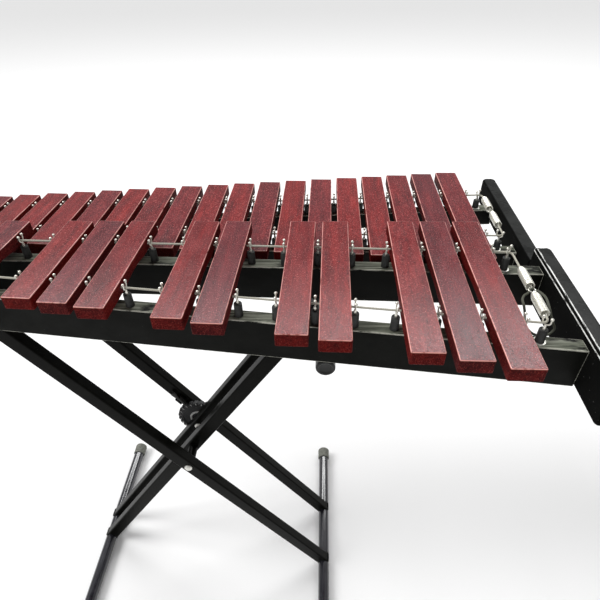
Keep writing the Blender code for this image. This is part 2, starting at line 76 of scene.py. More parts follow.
SMOOTH_TO = math.radians(40)  # sharper creases than this stay creases
HAIR = 1e-6  # nearer than this is the same place
FACE_SLICE = 0.0002  # depth of the slice that finds a face
END_SLICE = 0.004  # depth of the slice that finds a bar's end
GAP = 0.0003  # between two pieces that don't touch
SEAT = 0.0001  # between a piece and what it stands on

BAR_END_ROUND = 0.0016
BAR_EDGE_ROUND = 0.0014
BORE_RADIUS = 0.0024
ARCH_DEPTH = 0.006  # undercut of the longest bar
LONGEST_BAR = 0.3
ARCH_START = 0.33  # share of a bar's length before its undercut
ARCH_SHARE = 0.34
ARCH_STEPS = 16
ARCH_FULLNESS = 0.7  # 1 is a sine; less is fuller

PRONG_HALF_GAP = 0.0049
PRONG_RADIUS = 0.00095
BALL_RADIUS = 0.0021
BALL_SINK = 0.6  # of a ball's radius, from the fork's tip to its centre
STEM_RADIUS = 0.0019
STEM_DEPTH = 0.003  # of the stem inside its sleeve
SLEEVE_RADIUS = 0.0055
WASHER_RADIUS = 0.0078
CORD_RADIUS = 0.0014
CORD_CORNER = 0.008

SPRING_SPACE = 0.0104
SPRING_WIRE = 0.00055
SPRING_TURNS = 36
SPRING_NARROW = 0.0036  # radius of a spring's coils at its far end
SPRING_WIDE = 0.0056
SPRING_SHOULDER = 0.26  # share of the length where it is full width
HOOK_RADIUS = 0.0024
HOOK_WIRE = 0.0006
RING_WIRE = 0.0007

LOOP_RADIUS = 0.0016
LOOP_POINTS = (  # millimetres from the springs' middle ring
    (0, 3, 0), (6, 1.8, -2), (10.5, -3.2, -2), (13.2, -13.2, -2), (12.1, -26.8, -3),
    (13, -34.5, -8), (17.5, -38.5, -19), (22, -40, -30), (12, -44, -36), (-3, -43, -35),
    (-11, -33, -29), (-11.6, -24, -18), (-15.1, -21.8, -7), (-13.9, -12.1, -6.5),
    (-9.5, -4, -6), (-4.7, -2.5, -2.5))

RAIL_ROUND = 0.0014
BOARD_ROUND = 0.0045
BORDER_LEAN = 0.5  # a round's border faces lean less than this
BOARD_CORNER = 0.0095
PLAN_CORNER = 0.0085
SCREW_RADIUS = 0.0045
SCREW_SHARES = (0.28, 0.72)  # heights of a board's screws up its rail

LEG_WIDTH = 0.028
LEG_DEPTH = 0.0206
LEG_ROUND = 0.0030
LEG_INSET = 0.004  # from a leg's end to the axis of its tube
WELD_RADIUS = 0.0014
WELD_LUMP = 0.0002
ARM_TUBE_RADIUS = 0.0115
ARM_TUBE_INSET = 0.004  # from the sleeves' outer ends to the tube's
GRIP_RADIUS = 0.0135
GRIP_NEAR = 0.0905  # lengths of an arm's two rubber sleeves
GRIP_FAR = 0.107
FOOT_TUBE_RADIUS = 0.0127
FOOT_TUBE_INSET = 0.006  # from the caps' outer ends to the tube's
FOOT_CAP_RADIUS = 0.0159
FOOT_CAP_LENGTH = 0.030

SHAFT_RADIUS = 0.004
SHAFT_INSET = 0.004  # of the shaft's ends inside its head and nut
SPACER_RADIUS = 0.0092
BOLT_RADIUS = 0.0078
DOME_HEIGHT = 0.0042
HEAD_DEPTH = 0.0048  # dome and the short cylinder under it
BUSH_HEAD = 0.0046  # how far the bush's head stands off its leg
NUT_RADIUS = 0.0075
NUT_DEPTH = 0.005
DISC_TEETH = 24
TOOTH_DEPTH = 0.0034
DISC_CHAMFER = 0.0007
MARK_RADIUS = 0.0009
BUSH_RADIUS = 0.0062
PIN_SHARE = 0.93  # of the pin's box that its length takes up
PIN_RADIUS = 0.0030
KNOB_RADIUS = 0.0044
CHANNEL_HALF = 0.007
CHANNEL_SLOT = 0.0034  # half the width and depth of the pin's slot
CHANNEL_FRONT = -0.0035
CHANNEL_LENGTH = 0.018
CHANNEL_START = 0.0055  # from the pin's tip

FLOOR_DROP = 0.0005
FLOOR_SIZE = 60
CAMERA_PLACE = Vector((0.2552, -0.6328, 1.3028))
CAMERA_TURN = (-0.0419, 0.6786, -0.0136)  # yaw, pitch and roll
CAMERA_LENS = 29.63  # millimetres, on a frame 36 mm wide
CAMERA_SHIFT = -0.00375


# --- Reading the frame ---

def corners(node):
    """A CAD node's vertices, each place once."""
    found = {tuple(round(c, 6) for c in v.co) for v in frame["nodes"][node].data.vertices}
    return [Vector(p) for p in sorted(found)]


def mean(points):
    return sum(points, Vector()) / len(points)


def row_bars(row):
    return sorted(n for n in frame["nodes"] if n.startswith(row + "_bar_"))


class Bar:
    """One bar's place, from the corners of its end faces."""

    def __init__(self, node):
        low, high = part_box(node)
        points = corners(node)
        near = [p for p in points if p.y < low.y + END_SLICE]
        far = [p for p in points if p.y > high.y - END_SLICE]
        self.node = node
        self.top = high.z
        self.bottom = low.z
        self.near = mean(near)
        self.far = mean(far)
        self.near.z = self.far.z = 0
        self.along = (self.far - self.near).normalized()
        self.across = self.along.cross(UP)
        self.length = (self.far - self.near).length
        reach = [p.dot(self.across) for p in near]
        self.width = max(reach) - min(reach)


class Post:
    """One fork's place: its centre, and the line from prong to prong."""

    def __init__(self, tips):
        self.centre = mean(tips)
        self.centre.z = 0
        xx = sum((p.x - self.centre.x) ** 2 for p in tips)
        yy = sum((p.y - self.centre.y) ** 2 for p in tips)
        xy = sum((p.x - self.centre.x) * (p.y - self.centre.y) for p in tips)
        turn = 0.5 * math.atan2(2 * xy, xx - yy)
        self.side = Vector((math.cos(turn), math.sin(turn), 0))


def rail_posts(rail):
    """A rail's posts in order of X, found from the tips of its forks."""
    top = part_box(rail)[1].z
    tips = sorted((p for p in corners(rail) if p.z > top - FACE_SLICE), key=lambda p: p.x)
    groups = [[tips[0]]]
    for tip in tips[1:]:
        if tip.x - groups[-1][-1].x > SLEEVE_RADIUS:
            groups.append([])
        groups[-1].append(tip)
    return [Post(group) for group in groups]


class Rail:
    """A rail's beam: its four corners in plan, its bottom and its top."""

    def __init__(self, node):
        low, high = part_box(node)
        points = corners(node)
        self.node = node
        self.ends = []
        for x in (low.x, high.x):
            end = [p for p in points if abs(p.x - x) < FACE_SLICE]
            self.ends.append((x, min(p.y for p in end), max(p.y for p in end)))
            self.bottom = min(p.z for p in end)
            self.top = max(p.z for p in end)
        self.tip = high.z
        self.posts = rail_posts(node)

    def middle_y(self, x):
        (x0, a0, b0), (x1, a1, b1) = self.ends
        share = (x - x0) / (x1 - x0)
        return (a0 + b0) / 2 * (1 - share) + (a1 + b1) / 2 * share


# --- Mesh helpers ---

def new_object(name, mesh):
    """An object in the scene from a bmesh, which is used up."""
    data = bpy.data.meshes.new(name)
    mesh.to_mesh(data)
    mesh.free()
    piece = bpy.data.objects.new(name, data)
    bpy.context.scene.collection.objects.link(piece)
    return piece


def dress(piece, body, replaced):
    """Shading of a piece, the body it rides and what it replaces."""
    piece.data.shade_smooth()
    piece.data.set_sharp_from_angle(angle=SMOOTH_TO)
    weights = piece.modifiers.new("weighted", 'WEIGHTED_NORMAL')
    weights.keep_sharp = True
    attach(piece, body)
    if replaced:
        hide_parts(*replaced)


def make(name, mesh, look, body, replaced=()):
    """A finished piece from a bmesh in the frame's axes, riding on a body."""
    bmesh.ops.recalc_face_normals(mesh, faces=mesh.faces)
    piece = new_object(name, mesh)
    piece.data.materials.append(LOOKS[look])
    dress(piece, body, replaced)


def loft(mesh, rings, closed=False):
    """Skin through equal rings of points; capped unless closed on itself."""
    rows = [[mesh.verts.new(point) for point in ring] for ring in rings]
    pairs = list(zip(rows, rows[1:]))
    if closed:
        pairs.append((rows[-1], rows[0]))
    count = len(rows[0])
    for low, high in pairs:
        for i in range(count):
            j = (i + 1) % count
            mesh.faces.new((low[i], low[j], high[j], high[i]))
    if not closed:
        mesh.faces.new(rows[0][::-1])
        mesh.faces.new(rows[-1])


def circle(centre, across, up, radius, sides):
    turn = math.tau / sides
    return [centre + radius * (across * math.cos(turn * i) + up * math.sin(turn * i))
            for i in range(sides)]


def side_axes(along):
    """Two directions square to a line and to each other."""
    helper = UP if abs(along.z) < 0.9 else X_AXIS
    across = along.cross(helper).normalized()
    return across, across.cross(along)


def turned(mesh, start, along, profile, sides):
    """Turned solid; profile holds (distance from the start, radius)."""
    across, up = side_axes(along)
    loft(mesh, [circle(start + along * d, across, up, max(r, 1e-5), sides)
                for d, r in profile])


def tube(mesh, path, radius, sides, closed=False):
    """Round wire along a path, its rings turned as little as possible."""
    count = len(path)
    across = None
    rings = []
    for i, point in enumerate(path):
        before = path[i - 1] if i or closed else path[0]
        after = path[(i + 1) % count] if i < count - 1 or closed else path[-1]
        along = (after - before).normalized()
        if across is None:
            across = side_axes(along)[0]
        across = (across - along * across.dot(along)).normalized()
        rings.append(circle(point, across, across.cross(along), radius, sides))
    loft(mesh, rings, closed)


def ball(mesh, centre, radius):
    bmesh.ops.create_uvsphere(mesh, u_segments=12, v_segments=8, radius=radius,
                              matrix=Matrix.Translation(centre))


def rounded_outline(half_u, half_v, radius, steps=4):
    points = []
    for number, (su, sv) in enumerate(((1, 1), (-1, 1), (-1, -1), (1, -1))):
        for i in range(steps + 1):
            angle = math.pi / 2 * (number + i / steps)
            points.append((su * (half_u - radius) + radius * math.cos(angle),
                           sv * (half_v - radius) + radius * math.sin(angle)))
    return points


def sharp_edges(mesh, degrees):
    """Edges whose two faces turn by more than an angle."""
    limit = math.radians(degrees)
    bmesh.ops.recalc_face_normals(mesh, faces=mesh.faces)
    return [e for e in mesh.edges if e.is_manifold and e.calc_face_angle(0) > limit]


def round_edges(mesh, edges, radius, segments, wear_and_highlight=None):
    """Rounds edges; the given layer takes 1 along both borders of each round, where wear and a
    painted highlight are put.
    """
    made = bmesh.ops.bevel(mesh, geom=edges, offset=radius, segments=segments,
                           profile=0.5, affect='EDGES', clamp_overlap=True)
    if wear_and_highlight is not None:
        for face in made["faces"]:
            lean = sorted(abs(part) for part in face.normal)[1]
            face[wear_and_highlight] = 1 if lean < BORDER_LEAN else 0


# --- Material helpers ---

class Nodes:
    """Short forms for the nodes of one Principled material.

    Textures read object coordinates, or the vector stored under place.
    """

    def __init__(self, name, place=None):
        self.place = place
        self.material = bpy.data.materials.new(name)
        self.material.use_nodes = True
        self.tree = self.material.node_tree
        self.shader = self.tree.nodes["Principled BSDF"]

    def add(self, kind, **settings):
        node = self.tree.nodes.new(kind)
        for key, value in settings.items():
            setattr(node, key, value)
        return node

    def link(self, source, target):
        self.tree.links.new(source, target)

    def set(self, **values):
        """Constants for the shader's inputs, named with _ for a space."""
        for key, value in values.items():
            self.shader.inputs[key.replace("_", " ")].default_value = value

    def stored(self, name):
        """A number stored on the piece."""
        return self.add("ShaderNodeAttribute", attribute_name=name).outputs["Fac"]

    def coords(self, scale):
        if self.place:
            source = self.add("ShaderNodeAttribute", attribute_name=self.place)
            vector = source.outputs["Vector"]
        else:
            vector = self.add("ShaderNodeTexCoord").outputs["Object"]
        mapping = self.add("ShaderNodeMapping")
        mapping.inputs["Scale"].default_value = scale
        self.link(vector, mapping.inputs["Vector"])
        return mapping.outputs["Vector"]

    def noise(self, scale, detail, roughness, distortion=0.0):
        vector = self.coords(scale)
        node = self.add("ShaderNodeTexNoise")
        node.inputs["Scale"].default_value = 1.0
        node.inputs["Detail"].default_value = detail
        node.inputs["Roughness"].default_value = roughness
        node.inputs["Distortion"].default_value = distortion
        self.link(vector, node.inputs["Vector"])
        return node.outputs["Fac"]

    def ramp(self, factor, stops):
        """Colour ramp; stops are (position, colour) or (position, grey)."""
        node = self.add("ShaderNodeValToRGB")
        elements = node.color_ramp.elements
        while len(elements) < len(stops):
            elements.new(0.5)
        for element, (position, colour) in zip(elements, stops):
            if not isinstance(colour, tuple):
                colour = (colour, colour, colour)
            element.position = position
            element.color = (*colour, 1)
        self.link(factor, node.inputs["Fac"])
        return node.outputs["Color"]

    def mix(self, factor, first, second, blend='MIX'):
        node = self.add("ShaderNodeMix", data_type='RGBA', blend_type=blend)
        for socket, value in ((node.inputs["Factor"], factor), (node.inputs["A"], first),
                              (node.inputs["B"], second)):
            if isinstance(value, (float, int)):
                socket.default_value = value
            elif isinstance(value, tuple):
                socket.default_value = (*value, 1)
            else:
                self.link(value, socket)
        return node.outputs["Result"]

    def maths(self, operation, first, second):
        node = self.add("ShaderNodeMath", operation=operation)
        for socket, value in zip(node.inputs, (first, second)):
            if isinstance(value, (float, int)):
                socket.default_value = value
            else:
                self.link(value, socket)
        return node.outputs["Value"]

    def part(self, vector, axis):
        node = self.add("ShaderNodeSeparateXYZ")
        self.link(vector, node.inputs["Vector"])
        return node.outputs[axis]

    def bump(self, height, distance, normal=None):
        node = self.add("ShaderNodeBump")
        node.inputs["Distance"].default_value = distance
        self.link(height, node.inputs["Height"])
        if normal is not None:
            self.link(normal, node.inputs["Normal"])
        return node.outputs["Normal"]

    def finish(self, colour, roughness, normal):
        """Links what varies over the piece, and gives the material."""
        for socket, value in (("Base Color", colour), ("Roughness", roughness),
                              ("Normal", normal)):
            if value is not None:
                self.link(value, self.shader.inputs[socket])
        return self.material


# --- Materials ---

def bar_wood(name, shade, shine, rough):
    """Dark red padauk: faint long figure, open pores, a scuffed satin lacquer, pale flecks painted
    in as glints, and wear with a painted highlight along the upper edges; shade multiplies the
    colour, darkening the sides' copy as painted shade.
    """
    n = Nodes(name, "grain")
    tone = n.stored("tone")
    figure = n.noise((70, 9, 60), 4, 0.6, 0.6)
    streak = n.noise((520, 24, 300), 3, 0.6)
    fleck = n.noise((760, 420, 700), 2, 0.65)
    scuff = n.noise((60, 34, 60), 5, 0.7)
    red = n.ramp(figure, ((0.30, (0.105, 0.007, 0.009)), (0.50, (0.175, 0.011, 0.013)),
                          (0.72, (0.260, 0.020, 0.019))))
    plum = n.ramp(figure, ((0.30, (0.072, 0.011, 0.017)), (0.52, (0.120, 0.018, 0.026)),
                           (0.75, (0.185, 0.026, 0.032))))
    colour = n.mix(tone, red, plum)
    dark = n.ramp(streak, ((0.33, 0.72), (0.55, 1.0)))
    colour = n.mix(1.0, colour, dark, 'MULTIPLY')
    pore = n.ramp(fleck, ((0.31, 0.25), (0.46, 1.0)))
    colour = n.mix(1.0, colour, pore, 'MULTIPLY')
    # Pale flecks: painted glints of the lacquer, put into the wood's colour.
    pale = n.ramp(fleck, ((0.58, 0.0), (0.67, 0.50)))
    colour = n.mix(pale, colour, (0.60, 0.19, 0.18))
    # Pale line along the upper edges: wear and a painted highlight.
    colour = n.mix(bar_edge_wear_and_highlight(n), colour, (0.80, 0.46, 0.42))
    # shade tints the top's copy, and darkens the sides' copy as painted shade.
    colour = n.mix(1.0, colour, shade, 'MULTIPLY')
    gloss = n.ramp(scuff, ((0.35, rough), (0.70, rough + 0.10)))
    grain = n.bump(streak, 0.00002)
    normal = n.bump(fleck, 0.00020, grain)
    n.set(Specular_IOR_Level=shine)
    return n.finish(colour, gloss, normal)


def bar_edge_wear_and_highlight(n):
    """Where a bar's upper edges show wear and a painted highlight: 1 on the edge, broken by noise.
    """
    place = n.stored("edge")
    rub = n.noise((120, 60, 120), 4, 0.7)
    line = n.ramp(place, ((0.25, 0.0), (0.65, 1.0)))
    return n.maths('MULTIPLY', line, n.ramp(rub, ((0.30, 0.0), (0.50, 0.80))))


def top_facing(n):
    """1 on faces that look up, 0 on the rest."""
    upward = n.part(n.add("ShaderNodeTexCoord").outputs["Normal"], "Z")
    return n.ramp(upward, ((0.80, 0.0), (0.95, 1.0)))


def lacquer():
    """Black lacquer, glossy on top and matt down its sides, its sides painted darker as shade,
    specked and scratched, with wear and a painted highlight along its edges.
    """
    n = Nodes("board_lacquer")
    dust = n.noise((330, 330, 330), 2, 0.6)
    cloud = n.noise((22, 30, 30), 5, 0.65)
    scratch = n.noise((600, 30, 600), 3, 0.6)
    face = top_facing(n)
    # Top lighter, sides near black: the sides' darkness is painted shade.
    top = n.ramp(cloud, ((0.35, (0.012, 0.0125, 0.012)), (0.65, (0.024, 0.025, 0.024))))
    base = n.mix(face, (0.0022, 0.0023, 0.0020), top)
    speck = n.ramp(dust, ((0.725, 0.0), (0.77, 0.55)))
    base = n.mix(speck, base, (0.20, 0.20, 0.19))
    line = n.ramp(scratch, ((0.70, 0.0), (0.76, 0.22)))
    base = n.mix(line, base, (0.08, 0.08, 0.075))
    # Pale lines along the rounded edges: painted highlights, broken by wear noise.
    edge = n.stored("edge")
    rub = n.noise((300, 34, 300), 4, 0.75)
    wear_and_highlight = n.maths('MULTIPLY', edge, n.ramp(rub, ((0.44, 0.0), (0.52, 1.0))))
    base = n.mix(wear_and_highlight, base, (0.78, 0.79, 0.76))
    gloss = n.ramp(cloud, ((0.3, 0.20), (0.7, 0.36)))
    roughness = n.mix(face, (0.92, 0.92, 0.92), gloss)
    normal = n.bump(dust, 0.00006)
    n.set(Specular_IOR_Level=0.06)
    return n.finish(base, roughness, normal)


def rail_paint():
    """Black rails, their tops scuffed through to grey undercoat in streaks, their edges pale with
    wear and a painted highlight.
    """
    n = Nodes("rail_paint")
    face = top_facing(n)
    streak = n.noise((16, 420, 60), 4, 0.65, 0.3)
    patch = n.noise((19, 46, 30), 4, 0.6)
    fine = n.noise((340, 700, 700), 2, 0.6)
    grey = n.ramp(streak, ((0.34, (0.035, 0.038, 0.028)), (0.52, (0.140, 0.150, 0.115)),
                           (0.72, (0.36, 0.37, 0.31))))
    bare = n.maths('MULTIPLY', face, n.ramp(patch, ((0.36, 0.0), (0.46, 1.0))))
    dull = n.ramp(streak, ((0.3, (0.0022, 0.0024, 0.0017)), (0.7, (0.0050, 0.0053, 0.0040))))
    colour = n.mix(bare, dull, grey)
    # Pale lines along the rounded edges: wear and a painted highlight.
    edge = n.stored("edge")
    rub = n.noise((55, 200, 200), 4, 0.75)
    wear_and_highlight = n.maths('MULTIPLY', edge, n.ramp(rub, ((0.36, 0.0), (0.54, 0.9))))
    colour = n.mix(wear_and_highlight, colour, (0.50, 0.50, 0.43))
    speck = n.ramp(fine, ((0.74, 0.0), (0.79, 0.4)))
    colour = n.mix(speck, colour, (0.20, 0.20, 0.18))
    rough = n.ramp(patch, ((0.3, 0.42), (0.7, 0.62)))
    normal = n.bump(streak, 0.00015)
    n.set(Specular_IOR_Level=0.07)
    return n.finish(colour, rough, normal)


def steel(name, colour, rough, speckle, bright):
    """Plated steel with a slight cast and dull spots."""
    n = Nodes(name)
    spot = n.noise((900, 900, 900), 3, 0.6)
    tint = n.ramp(spot, ((0.35, tuple(c * speckle for c in colour)), (0.6, colour)))
    roughness = n.ramp(spot, ((0.3, rough + 0.12), (0.7, rough)))
    normal = n.bump(spot, 0.00003)
    n.set(Metallic=bright)
    return n.finish(tint, roughness, normal)


def rubber(name, colour, pale, rough):
    """Matt moulded rubber, dusty on its high places."""
    n = Nodes(name)
    dust = n.noise((160, 160, 160), 5, 0.7)
    fine = n.noise((1600, 1600, 1600), 2, 0.5)
    tint = n.ramp(dust, ((0.35, colour), (0.75, pale)))
    normal = n.bump(fine, 0.00010)
    roughness = n.ramp(dust, ((0.3, rough), (0.7, rough + 0.12)))
    n.set(Specular_IOR_Level=0.35)
    return n.finish(tint, roughness, normal)


def braid(name, colour, pale):
    """Braided cord: a fine crossed weave."""
    n = Nodes(name)
    first = n.add("ShaderNodeTexWave", bands_direction='DIAGONAL')
    first.inputs["Scale"].default_value = 1.0
    n.link(n.coords((420, 420, 420)), first.inputs["Vector"])
    fuzz = n.noise((1500, 1500, 1500), 2, 0.6)
    weave = n.maths('ADD', n.maths('MULTIPLY', first.outputs["Fac"], 0.6),
                    n.maths('MULTIPLY', fuzz, 0.4))
    tint = n.ramp(weave, ((0.25, colour), (0.75, pale)))
    normal = n.bump(weave, 0.00025)
    n.set(Roughness=0.85, Specular_IOR_Level=0.2)
    return n.finish(tint, None, normal)


def enamel(name, darkest, lightest, rough, shine):
    """Black enamel on steel tube, with a faint orange-peel and small chips."""
    n = Nodes(name)
    peel = n.noise((500, 500, 500), 2, 0.5)
    wear = n.noise((40, 40, 40), 6, 0.7)
    chip = n.noise((300, 300, 300), 3, 0.7)
    base = n.ramp(wear, ((0.35, darkest), (0.7, lightest)))
    base = n.mix(n.ramp(chip, ((0.74, 0.0), (0.78, 0.6))), base, (0.14, 0.14, 0.12))
    roughness = n.ramp(wear, ((0.3, rough), (0.7, rough + 0.10)))
    normal = n.bump(peel, 0.00005)
    n.set(Specular_IOR_Level=shine)
    return n.finish(base, roughness, normal)


def nylon(name, darkest, lightest):
    """Black glass-filled nylon of the lock disc; its pale copy is a painted highlight on the raised
    ring and marks.
    """
    n = Nodes(name)
    cast = n.noise((260, 260, 260), 4, 0.6)
    tint = n.ramp(cast, ((0.35, darkest), (0.7, lightest)))
    rough = n.ramp(cast, ((0.3, 0.42), (0.7, 0.6)))
    normal = n.bump(cast, 0.0001)
    n.set(Specular_IOR_Level=0.45)
    return n.finish(tint, rough, normal)


LOOKS = {
    "bar": bar_wood("bar_wood", (1.15, 0.96, 0.94), 0.34, 0.17),
    # Sides, ends and underside of the bars: the same wood made darker, painted shade.
    "bar_side": bar_wood("bar_side_wood", (0.60, 0.40, 0.32), 0.04, 0.55),
    "rail": rail_paint(),
    "board": lacquer(),
    "chrome": steel("chrome", (0.93, 0.92, 0.83), 0.22, 0.80, 0.60),
    "nickel": steel("nickel", (0.93, 0.91, 0.82), 0.22, 0.80, 0.70),
    "zinc": steel("zinc", (0.92, 0.91, 0.85), 0.30, 0.78, 0.55),
    "blued": steel("blued_steel", (0.085, 0.085, 0.082), 0.30, 0.60, 0.90),
    "sleeve": rubber("sleeve_rubber", (0.012, 0.012, 0.012), (0.045, 0.047, 0.044), 0.55),
    "grip": rubber("grip_rubber", (0.0060, 0.0062, 0.0056), (0.016, 0.017, 0.015), 0.28),
    "cap": rubber("cap_rubber", (0.095, 0.097, 0.082), (0.23, 0.235, 0.205), 0.62),
    "cord": braid("cord_braid", (0.30, 0.29, 0.235), (0.62, 0.60, 0.52)),
    "tie": braid("tie_cord", (0.055, 0.058, 0.044), (0.14, 0.145, 0.115)),
    "enamel": enamel("stand_enamel", (0.0022, 0.0022, 0.0017), (0.0050, 0.0050, 0.0038),
                     0.28, 0.05),
    "gloss": enamel("foot_enamel", (0.012, 0.012, 0.016), (0.020, 0.020, 0.027), 0.10, 0.85),
    "nylon": nylon("disc_nylon", (0.010, 0.010, 0.011), (0.024, 0.024, 0.025)),
    # Pale copy for the disc's raised ring and marks: a painted highlight.
    "rubbed": nylon("disc_nylon_rubbed", (0.40, 0.40, 0.39), (0.80, 0.80, 0.77)),
}


# --- Bars ---

def bar_mesh(bar):
    """Bar in its own axes: u across, v along from the middle, w up."""
    mesh = bmesh.new()
    half = bar.width / 2
    height = bar.top - bar.bottom
    arch = ARCH_DEPTH * bar.length / LONGEST_BAR
    rings = []
    hollow = [ARCH_START + ARCH_SHARE * i / ARCH_STEPS for i in range(ARCH_STEPS + 1)]
    for share in [0] + hollow + [1]:
        inside = min(max((share - ARCH_START) / ARCH_SHARE, 0), 1)
        lift = arch * math.sin(math.pi * inside) ** ARCH_FULLNESS if 0 < inside < 1 else 0
        v = (share - 0.5) * bar.length
        rings.append([Vector((-half, v, lift)), Vector((half, v, lift)),
                      Vector((half, v, height)), Vector((-half, v, height))])
    loft(mesh, rings)
    ends = []
    for edge in mesh.edges:
        a, b = (vert.co for vert in edge.verts)
        at_end = abs(abs(a.y) - bar.length / 2) < HAIR and abs(a.y - b.y) < HAIR
        top = abs(a.z - height) < HAIR and abs(b.z - height) < HAIR
        if at_end and not top:
            ends.append(edge)
    round_edges(mesh, ends, BAR_END_ROUND, 4)
    round_edges(mesh, sharp_edges(mesh, 50), BAR_EDGE_ROUND, 3)
    return mesh


def bore_bar(piece, bar, lines):
    """Cuts the cord's two holes, where the lines of posts cross the bar."""
    centre = (bar.near + bar.far) / 2
    for number, (line_y, cord_z) in enumerate(lines):
        y = line_y(centre.x)
        point = bar.near + bar.along * ((y - bar.near.y) / bar.along.y)
        slope = Vector((1, line_y(centre.x + 0.5) - line_y(centre.x - 0.5), 0)).normalized()
        mesh = bmesh.new()
        point.z = cord_z
        turned(mesh, point - slope * bar.width, slope, ((0, BORE_RADIUS),
                                                       (2 * bar.width, BORE_RADIUS)), 14)
        cutter = new_object("bore", mesh)
        hole = piece.modifiers.new(f"bore_{number}", 'BOOLEAN')
        hole.object = cutter
        yield cutter


def store(data, name, kind, values):
    """Writes one value for each vertex into a named attribute."""
    attribute = data.attributes.new(name, kind, 'POINT')
    field = "vector" if kind == 'FLOAT_VECTOR' else "value"
    flat = [c for value in values for c in value] if field == "vector" else values
    attribute.data.foreach_set(field, flat)


def build_bar(bar, lines, tone):
    """Bar with its bores cut, and the places and tone that its wood reads."""
    mesh = bar_mesh(bar)
    centre = (bar.near + bar.far) / 2
    turn = Matrix((bar.across, bar.along, UP)).transposed().to_4x4()
    frame_from_bar = Matrix.Translation(centre + UP * bar.bottom) @ turn
    mesh.transform(frame_from_bar)
    bmesh.ops.recalc_face_normals(mesh, faces=mesh.faces)
    piece = new_object(bar.node + "_wood", mesh)
    cutters = list(bore_bar(piece, bar, lines))
    bpy.context.view_layer.update()
    graph = bpy.context.evaluated_depsgraph_get()
    cut = bpy.data.meshes.new_from_object(piece.evaluated_get(graph))
    cut.name = bar.node + "_wood_cut"
    piece.modifiers.clear()
    piece.data = cut
    for cutter in cutters:
        bpy.data.objects.remove(cutter, do_unlink=True)
    bar_from_frame = frame_from_bar.inverted()
    local = [bar_from_frame @ vert.co for vert in cut.vertices]
    drift = Vector([random.uniform(-3, 3) for _ in range(3)])
    height = bar.top - bar.bottom
    store(cut, "grain", 'FLOAT_VECTOR', [p + drift for p in local])
    store(cut, "tone", 'FLOAT', [tone] * len(local))
    store(cut, "edge", 'FLOAT', [rubbed(p, bar, height) for p in local])
    cut.materials.clear()
    cut.materials.append(LOOKS["bar"])
    cut.materials.append(LOOKS["bar_side"])
    # Faces that don't look up take the darker copy, painted shade.
    for face in cut.polygons:
        face.material_index = 0 if face.normal.z > 0.5 else 1
    dress(piece, "instrument", [bar.node])


def rubbed(point, bar, height):
    """1 on the middle of an upper edge's round, where wear and a painted highlight go; 0 on the
    flats.
    """
    depth = height - point.z
    inset = min(bar.width / 2 - abs(point.x), bar.length / 2 - abs(point.y))
    reach = BAR_EDGE_ROUND * 0.8
    return 1.0 if depth < reach and inset < reach else 0.0


def build_bars(row, lines):
    for node in row_bars(row):
        build_bar(Bar(node), lines, random.choice((0.0, 0.15, 0.3, 0.6, 0.9)))


# --- Posts ---

def add_fork(mesh, post, cord_z, tip_z, sleeve_z):
    """U of wire under the cord with a ball on each prong, and its stem."""
    bend_z = cord_z - CORD_RADIUS - PRONG_RADIUS + PRONG_HALF_GAP
    top = post.centre + UP * (tip_z - BALL_RADIUS * BALL_SINK)
    bend = post.centre + UP * bend_z
    path = [top + post.side * PRONG_HALF_GAP]
    for i in range(11):
        angle = math.pi * i / 10
        path.append(bend + PRONG_HALF_GAP * (post.side * math.cos(angle)
                                             - UP * math.sin(angle)))
    path.append(top - post.side * PRONG_HALF_GAP)
    tube(mesh, path, PRONG_RADIUS, 8)
    for end in (path[0], path[-1]):
        ball(mesh, end, BALL_RADIUS)
    foot = post.centre + UP * (sleeve_z - STEM_DEPTH)
    stem = bend_z - PRONG_HALF_GAP - foot.z
    turned(mesh, foot, UP, ((0, STEM_RADIUS), (stem * 0.6, STEM_RADIUS), (stem, 0.0011)), 10)


def add_sleeve(mesh, post, base_z, top_z):
    """Rubber tube, a little wider at its foot, with a dished top."""
    r = SLEEVE_RADIUS
    height = top_z - base_z
    profile = ((0, r * 1.06), (0.0015, r * 1.05), (0.003, r), (height - 0.0009, r * 0.97),
               (height - 0.0003, r * 0.93), (height, r * 0.84), (height, r * 0.5),
               (height - 0.0008, r * 0.42), (height - 0.0008, 0.0))
    turned(mesh, post.centre + UP * base_z, UP, profile, 18)


def add_washer(mesh, post, base_z):
    turned(mesh, post.centre + UP * base_z, UP,
           ((0, WASHER_RADIUS), (0.0008, WASHER_RADIUS), (0.0011, 0.0074), (0.0011, 0.0)), 20)


def build_posts(rail, cord_z, bar_bottom):
    """A rail's forks and sleeves, with a washer under each end post."""
    forks = bmesh.new()
    sleeves = bmesh.new()
    washers = bmesh.new()
    for post in rail.posts:
        add_fork(forks, post, cord_z, rail.tip, bar_bottom)
        add_sleeve(sleeves, post, rail.top + SEAT, bar_bottom)
    for post in (rail.posts[0], rail.posts[-1]):
        add_washer(washers, post, rail.top + SEAT)
    name = rail.node.replace("rail_", "")
    make(f"forks_{name}", forks, "nickel", "instrument")
    make(f"sleeves_{name}", sleeves, "sleeve", "instrument")
    make(f"washers_{name}", washers, "zinc", "instrument")


# --- Frame ---

def build_rail(rail):
    mesh = bmesh.new()
    wear_and_highlight = mesh.faces.layers.float.new("edge")
    (x0, a0, b0), (x1, a1, b1) = rail.ends
    rings = []
    for z in (rail.bottom, rail.top):
        rings.append([Vector((x0, a0, z)), Vector((x1, a1, z)), Vector((x1, b1, z)),
                      Vector((x0, b0, z))])
    loft(mesh, rings)
    round_edges(mesh, sharp_edges(mesh, 60), RAIL_ROUND, 2, wear_and_highlight)
    make(rail.node + "_beam", mesh, "rail", "instrument", [rail.node])


